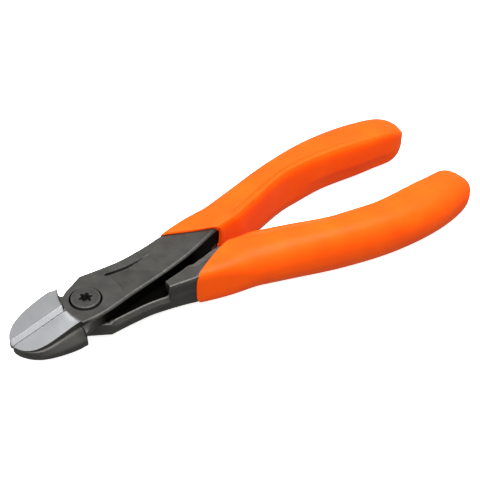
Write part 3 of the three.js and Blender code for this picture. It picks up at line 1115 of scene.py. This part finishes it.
@dataclass
class Pivot:
    """The pivot screw, with a star recess in its head, and the round nut behind it."""

    finish: bpy.types.Material
    head_radius: float = 5.0
    head_top: float = 5.65
    head_floor: float = 3.75
    rim: float = 0.2
    shank_radius: float = 3.4
    thread_radius: float = 2.5
    thread_start: float = 0.3  # how far above the nut's top the thread starts
    nut_top: float = -4.2
    nut_gap: float = 0.06  # between the nut and the screw's thread
    nut_edge: float = 0.4
    end_z: float = -5.4
    star_radius: float = 2.0
    lobe: float = 0.4
    lobes: int = 6
    star_turn: float = 12.0
    star_depth: float = 3.0
    steps: int = 144
    rim_share: float = 0.15  # how bright the rims are rubbed
    outer_face: Span = (4.9, 5.2)  # how far out a face lies before it counts as an outer one
    crease: float = 30.0

    def screw_surface(self) -> Surface:
        """The screw: circles down its outside, and inside the recess circles that swell out in lobes.

        Returns:
            The surface.
        """
        top, head, star, rim = self.head_top, self.head_radius, self.star_radius, self.rim
        thread_top, bottom = self.nut_top + self.thread_start, top - self.star_depth
        recess = [
            (0.001, bottom - 0.4), (0.9, bottom), (star, bottom),
            (star, top - 0.12), (star + 0.04, top - 0.03), (star + 0.14, top),
        ]
        flat = [(r, top) for r in np.linspace(star + 0.5, head - rim - 0.04, 6)]
        outside = [
            (head - rim + 0.03, top - 0.02), (head - 0.05, top - rim + 0.07), (head, top - rim),
            (head, self.head_floor + 0.1), (head - 0.1, self.head_floor),
            (self.shank_radius, self.head_floor), (self.shank_radius, thread_top),
            (self.thread_radius, thread_top), (self.thread_radius, self.end_z + 0.35),
            (self.thread_radius - 0.35, self.end_z), (0.001, self.end_z),
        ]
        angle = np.arange(self.steps) / self.steps * 2 * np.pi - math.radians(self.star_turn)
        share = np.zeros(len(recess) + len(flat) + len(outside))
        share[: len(recess) + 1] = (0, 0.3, *[1] * (len(recess) - 2), 0.35)  # the lobes fade out on the flats
        swell = self.lobe * share[:, None] * np.sin(math.pi / 2 * np.cos(self.lobes * angle))
        return turned((*recess, *flat, *outside), self.steps, swell)

    def nut_surface(self) -> Surface:
        """The nut: a ring that closes on itself, so its profile is carried once round the axis.

        Returns:
            The surface.
        """
        inner, outer, edge = self.thread_radius + self.nut_gap, self.head_radius, self.nut_edge
        top, end = self.nut_top, self.end_z
        radius, height = np.array([
            (inner, top - 0.25), (inner + 0.25, top), (outer - 0.15, top), (outer, top - 0.15),
            (outer, end + edge + 0.05), (outer - 0.05, end + edge - 0.05), (outer - edge, end),
            (inner + 0.3, end), (inner, end + 0.3),
        ]).T
        angle = np.arange(self.steps) / self.steps * 2 * np.pi
        flat = (np.outer(np.cos(angle), radius), np.outer(np.sin(angle), radius))
        ring = np.stack([*flat, np.tile(height, (self.steps, 1))], axis=2)
        across = len(radius)
        here = np.arange(self.steps * across)
        i, j = np.divmod(here, across)
        beside = i * across + (j + 1) % across
        ahead = (i + 1) % self.steps * across
        quads = np.stack([here, ahead + j, ahead + (j + 1) % across, beside], axis=1)
        return Surface(ring.reshape(-1, 3), quads.tolist(), np.zeros(len(quads), int))

    def worn(self, places: Array) -> Array:
        """How much each point is rubbed bright, by how close it is to the outer edge and the outer face.

        Args:
            places: Points in millimetres from the pivot.

        Returns:
            One number from 0 to 1 for each point.
        """
        start = self.head_radius - self.rim
        rim = smoothstep(np.hypot(places[:, 0], places[:, 1]), start - 0.1, start + 0.03)
        return self.rim_share * rim * smoothstep(np.abs(places[:, 2]), *self.outer_face)

    def build(self) -> list[bpy.types.Object]:
        """Makes the screw and the nut, each in place of its plain node.

        Returns:
            The two finished pieces.
        """
        made = []
        for node, surface in (("pivot_screw", self.screw_surface()), ("pivot_nut", self.nut_surface())):
            piece = make_piece(node + "_turned", surface, [self.finish])
            mark(piece, "wear", self.worn(places_on(piece)))
            smooth_shade(piece, self.crease)
            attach(piece, Half.UPPER.value)
            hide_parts(node)
            report(piece)
            made.append(piece)
        return made


# ---------------------------------------------------------------- grips


@dataclass(frozen=True)
class GripForm:
    """Sizes of a grip, which both grips share. Each is worked out on the upper lever.

    Angles go round a section from the side away from the other grip, over the top, in degrees.
    """

    end_x: float = 152.4
    end_length: Span = (9.0, 13.5)  # of the round end, across and up
    mouth_x: float = 46.0  # where the slanting mouth crosses the middle line
    mouth_slant: float = 8.6  # how far the mouth runs forward at its outer side
    mouth_lean: Span = (0.8, -0.1)  # how far its top lies behind its middle, on the upper and lower lever
    mouth_fade: float = 34.0  # length over which the stations turn square to the grip
    hug: float = 0.2  # share by which its inner side is narrower at the mouth
    hug_length: float = 12.0
    hug_turn: Span = (-0.2, 0.8)  # cosines over which it comes in
    squareness: Span = (6.5, 2.3)  # exponent of the outer side's superellipse, at the mouth and further back
    squareness_x: Span = (37.0, 62.0)
    inner_squareness: float = 6.5  # of the side that faces the other grip
    inner_turn: Span = (-0.1, 0.6)  # cosines between which one side passes into the other
    lip: float = 0.55  # radius of the rounded lip
    fit: float = 0.26  # gap round the steel

    bead: float = 0.3  # height of the bead along the edges of the inner face
    bead_width: float = 3.183  # degrees
    bead_angle: float = 131.0
    bead_rise: Span = (52.0, 66.0)
    bead_fall: Span = (126.0, 142.0)
    hollow: float = 0.48  # depth of the hollow beside the bead
    hollow_width: float = 2.546
    hollow_angle: float = 122.724
    facet: float = 0.8  # depth of the facet that is taken off the underside near the end
    facet_angles: tuple[float, ...] = (97.0, 132.0, 145.0, 175.0)  # where it deepens, and where it fades
    facet_rise: Span = (96.0, 112.0)
    facet_fall: Span = (138.0, 150.0)
    line: float = 0.16  # depth of the crease along the top of the outer side
    line_width: float = 1.6
    line_angle: float = 62.0
    line_rise: Span = (58.0, 70.0)
    line_fall: Span = (120.0, 138.0)

    middle: Curve = Curve((
        (34, 4.6), (44, 6.9), (54, 9.5), (72, 14.8), (92, 20.7), (112, 23.1), (132, 22.3), (152.5, 19.2),
    ))
    half_width: Curve = Curve((
        (34, 7.6), (44, 8.1), (54, 8.2), (72, 7.45), (92, 6.75), (112, 8.07), (132, 8.72), (152.5, 6.7),
    ))
    half_height: Curve = Curve(((34, 7.2), (54, 8.1), (72, 8.95), (92, 9.4), (120, 9.22), (152.5, 8.4)))


@dataclass
class Grip:
    """A moulded sleeve that hugs the shank at its slanting mouth and runs to a round end."""

    half: Half
    name: str
    lever: Lever
    vinyl: bpy.types.Material
    form: GripForm = field(default_factory=GripForm)
    points: int = 224
    crease: float = 40.0

    def place(self, x: Array, across: Array, up: Array) -> Array:
        """Puts section points in space, square to the middle line at each point's own station.

        Args:
            x: Station of each point on the middle line.
            across: How far each point lies from the middle line.
            up: Its height.

        Returns:
            Points with xyz last.
        """
        slope = (self.form.middle(x + 0.1) - self.form.middle(x - 0.1)) / 0.2
        length = np.sqrt(1 + slope**2)
        return np.stack([x - across * slope / length, self.form.middle(x) + across / length, up], axis=-1)

    def superellipse(self, angle: Array, power: Array | float) -> Array:
        """How far from its middle a superellipse of half width 1 lies in each direction."""
        return (np.abs(np.cos(angle)) ** power + np.abs(np.sin(angle)) ** power) ** (-1 / power)

    def stations(self) -> Array:
        """Stations along the middle line, closest at the lip and at the round end, as a column."""
        form, reach = self.form, self.form.end_length[1]
        lip = form.mouth_x + form.lip * (1 - np.cos(np.linspace(0, 0.5, 8) * math.pi))
        body = np.linspace(form.mouth_x + form.lip + 0.6, form.end_x - reach, 120)
        end = form.end_x - reach * (1 - np.sin(np.linspace(0.02, 0.998, 40) * math.pi / 2))
        return np.concatenate([lip, body, end])[:, None]

    def rings(self) -> Array:
        """Sections of the outside: superellipses whose exponent falls along the grip.

        Their stations start along the slanting mouth and turn square to the grip. They are drawn in at the
        lip and at the round end by a quarter of a circle.

        Returns:
            Points as (station, point, xyz).
        """
        form, station = self.form, self.stations()
        angle = ((np.arange(self.points) + 0.5) / self.points * 2 * math.pi)[None, :]
        outwards, upwards = np.cos(angle), np.sin(angle)
        slanted = 1 - smoothstep(station, form.mouth_x, form.mouth_x + form.mouth_fade)
        lean = form.mouth_lean[0 if self.half is Half.UPPER else 1]
        x = station + slanted * self.superellipse(angle, 4) * (lean * upwards - form.mouth_slant * outwards)
        outer_power = between(*form.squareness, smoothstep(x, *form.squareness_x))
        power = between(outer_power, form.inner_squareness, smoothstep(-outwards, *form.inner_turn))
        radius = self.superellipse(angle, power)
        ends = (np.clip((station - form.end_x + length) / length, 0, 1) for length in form.end_length)
        shrink, up_shrink = (np.sqrt(1 - end**2) for end in ends)
        into_lip = 1 - np.clip((station - form.mouth_x) / form.lip, 0, 1)
        draw_in = form.lip * (1 - np.sqrt(1 - into_lip**2))
        near_mouth = 1 - smoothstep(station, form.mouth_x, form.mouth_x + form.hug_length)
        hug = form.hug * near_mouth * smoothstep(-outwards, *form.hug_turn)
        wide = (form.half_width(x) * (1 - hug) - draw_in) * shrink
        high = (form.half_height(x) - draw_in) * up_shrink
        raised = self.raised(x, angle, shrink)
        return self.place(x, (wide * radius + raised) * outwards, (high * radius + raised) * upwards)

    def raised(self, x: Array, angle: Array, shrink: Array) -> Array:
        """Height of the moulded details.

        They are a bead along the two edges of the inner face with a hollow beside it, a facet on the
        underside near the end, and a crease along the top, all before a grip is turned over.

        Args:
            x: Station of each point.
            angle: Its direction round the section.
            shrink: How far the round end has drawn the section in.

        Returns:
            The height at each point.
        """
        form = self.form
        turn = np.degrees((angle + math.pi) % (2 * math.pi) - math.pi)
        bead = form.bead * bell(np.abs(turn), form.bead_angle, form.bead_width)
        bead -= form.hollow * bell(np.abs(turn), form.hollow_angle, form.hollow_width)
        start, deep, deep_end, end = form.facet_angles
        facet = np.clip((-turn - start) / (deep - start), 0, 1) * (1 - smoothstep(-turn, deep_end, end))
        line = form.line * bell(turn, form.line_angle, form.line_width)
        raised = bead * plateau(x, form.bead_rise, form.bead_fall) * shrink
        raised -= form.facet * facet * plateau(x, form.facet_rise, form.facet_fall) * shrink
        return raised - line * plateau(x, form.line_rise, form.line_fall)

    def core(self) -> Surface:
        """The steel inside the grip with a small gap round it, as the shape that is cut out.

        Returns:
            The surface, in the upper lever's place.
        """
        x = np.concatenate([np.arange(30, 60, 0.75), np.arange(60, self.lever.form.tang_end_x + 0.4, 3.4)])
        corners = self.lever.handle(x)
        grown = corners + self.form.fit * np.sign(corners - corners.mean(axis=0))
        section = self.lever.rounded(grown, self.lever.cuts("handle", x))
        places = np.repeat(x[None], section.shape[0], axis=0)
        return closed_loft(np.stack([places, section[:, 0], section[:, 1]], axis=2).transpose(1, 0, 2))

    def build(self) -> bpy.types.Object:
        """Makes the grip, hollows it and puts it in place of its plain node.

        Returns:
            The finished piece.
        """
        made, core = closed_loft(self.rings()), self.core()
        if self.half is Half.LOWER:
            made, core = made.turned_over(), core.turned_over()
        piece = make_piece(self.name + "_sleeve", made, [self.vinyl])
        carve(piece, core)
        smooth_shade(piece, self.crease)
        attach(piece, self.half.value)
        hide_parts(self.name)
        report(piece)
        return piece


# ---------------------------------------------------------------- studio


@dataclass(frozen=True)
class Lamp:
    """A soft square light that hangs over the table."""

    name: str
    place: tuple[float, float, float]  # metres
    width: float
    power: float

    def build(self) -> None:
        """Hangs the lamp, facing the middle of the tool."""
        data = bpy.data.lights.new(self.name, "AREA")
        data.size = self.width
        data.energy = self.power
        lamp = bpy.data.objects.new(self.name, data)
        lamp.location = self.place
        lamp.rotation_euler = (-Vector(self.place)).to_track_quat("-Z", "Y").to_euler()
        bpy.context.scene.collection.objects.link(lamp)


@dataclass
class Studio:
    """The camera, a pale floor, soft light from above and an even white surround."""

    target: tuple[float, float, float] = (5.18, 7.53, 2.50)  # millimetres, in the part's frame
    distance: float = 450.2
    heading: float = 34.07  # degrees from +Y towards +X, the way the camera looks
    elevation: float = 41.22
    roll: float = 0.38
    lens: float = 91.5
    floor_width: float = 6.0  # metres
    sky: float = 0.9  # strength of the surround above the table
    below: float = 0.45  # and below it
    horizon: Span = (-0.08, 0.08)  # heights between which one passes into the other
    sides: Span = (1.12, 0.68)  # how much stronger it is towards -X, and weaker towards +X
    glow: float = 0.85  # the table is lit from below as well, so that shadows on it stay faint
    lamps: tuple[Lamp, ...] = (
        Lamp("key_light", (0.05, -0.10, 1.15), 0.9, 23.0),
        Lamp("bevel_light", (-0.1, -0.7, 0.75), 0.5, 0.3),
    )

    def camera(self) -> None:
        """Stands the camera off the target, looking along its heading and down by its elevation."""
        heading, elevation, roll = (math.radians(v) for v in (self.heading, self.elevation, self.roll))
        level = Vector((math.sin(heading), math.cos(heading), 0))
        right = Vector((math.cos(heading), -math.sin(heading), 0))
        forward = level * math.cos(elevation) - Vector((0, 0, math.sin(elevation)))
        up = level * math.sin(elevation) + Vector((0, 0, math.cos(elevation)))
        across = right * math.cos(roll) + up * math.sin(roll)
        above = up * math.cos(roll) - right * math.sin(roll)
        data = bpy.data.cameras.new("camera")
        data.lens = self.lens
        data.clip_start = 0.01
        camera = bpy.data.objects.new("camera", data)
        turn = Matrix((across, above, -forward)).transposed().to_4x4()
        camera.matrix_world = Matrix.Translation((Vector(self.target) - forward * self.distance) * MM) @ turn
        bpy.context.scene.collection.objects.link(camera)
        bpy.context.scene.camera = camera

    def floor(self, paper: bpy.types.Material) -> None:
        """Lays the floor at the height that the tool rests on, unseen by light that has bounced.

        Args:
            paper: Its material.
        """
        half, height = self.floor_width / 2, CAD_BOX[0].z
        mesh = bpy.data.meshes.new("floor")
        corners = [(x * half, y * half, height) for x, y in ((-1, -1), (1, -1), (1, 1), (-1, 1))]
        mesh.from_pydata(corners, [], [(0, 1, 2, 3)])
        mesh.materials.append(paper)
        plane = bpy.data.objects.new("floor", mesh)
        plane.visible_diffuse = False
        plane.visible_glossy = False
        bpy.context.scene.collection.objects.link(plane)

    def surround(self) -> None:
        """Surrounds the tool with white light, weaker from below and towards +X."""
        world = bpy.data.worlds.new("surround")
        world.use_nodes = True
        tree = world.node_tree
        tree.nodes.clear()
        way = add_node(tree, "TexCoord", {}).outputs["Generated"]
        axes = add_node(tree, "SeparateXYZ", {0: way}).outputs
        strength = ranged(tree, axes["Z"], self.horizon, (self.below, self.sky))
        fall = ranged(tree, axes["X"], (-1, 1), self.sides)
        total = add_node(tree, "Math", {0: strength, 1: fall}, operation="MULTIPLY").outputs[0]
        light = add_node(tree, "Background", {"Color": (1, 1, 1, 1), "Strength": total})
        add_node(tree, "OutputWorld", {"Surface": light.outputs[0]})
        bpy.context.scene.world = world

    def build(self) -> None:
        """Sets up everything round the tool."""
        bpy.context.scene.view_settings.view_transform = "Standard"
        self.camera()
        self.floor(PalePaper("matt_paper", "#f4f4f3", "#fbfbfa", (0.9, 0.9), 0.0, self.glow).build())
        self.surround()
        for lamp in self.lamps:
            lamp.build()


# ---------------------------------------------------------------- the whole tool


def main() -> None:
    """Sets up the studio, then makes each piece in the order in which the tool is put together."""
    logging.basicConfig(level=logging.INFO, format="%(name)s: %(message)s")
    Studio().build()
    forging = PhosphatedForging("phosphated_forged_steel", "#2c2b28", "#353430", (0.40, 0.52), 0.3).build()
    ground = GroundSteel("ground_tool_steel", "#abacaf", "#b4b5b7", (0.26, 0.32), 1.0).build()
    turned_steel = TurnedSteel("blackened_turned_steel", "#282725", "#31302d", (0.36, 0.46), 0.3).build()
    vinyl = MouldedVinyl("moulded_vinyl", "#fb5000", "#ff5b00", (0.42, 0.52), 0.0).build()
    upper = Lever(Half.UPPER, "upper_lever", forging, ground)
    lower = Lever(Half.LOWER, "lower_lever", forging, ground)
    upper.build()
    lower.build()
    Pivot(turned_steel).build()
    Grip(Half.UPPER, "upper_lever_grip", upper, vinyl).build()
    Grip(Half.LOWER, "lower_lever_grip", lower, vinyl).build()


if __name__ == "__main__":
    main()
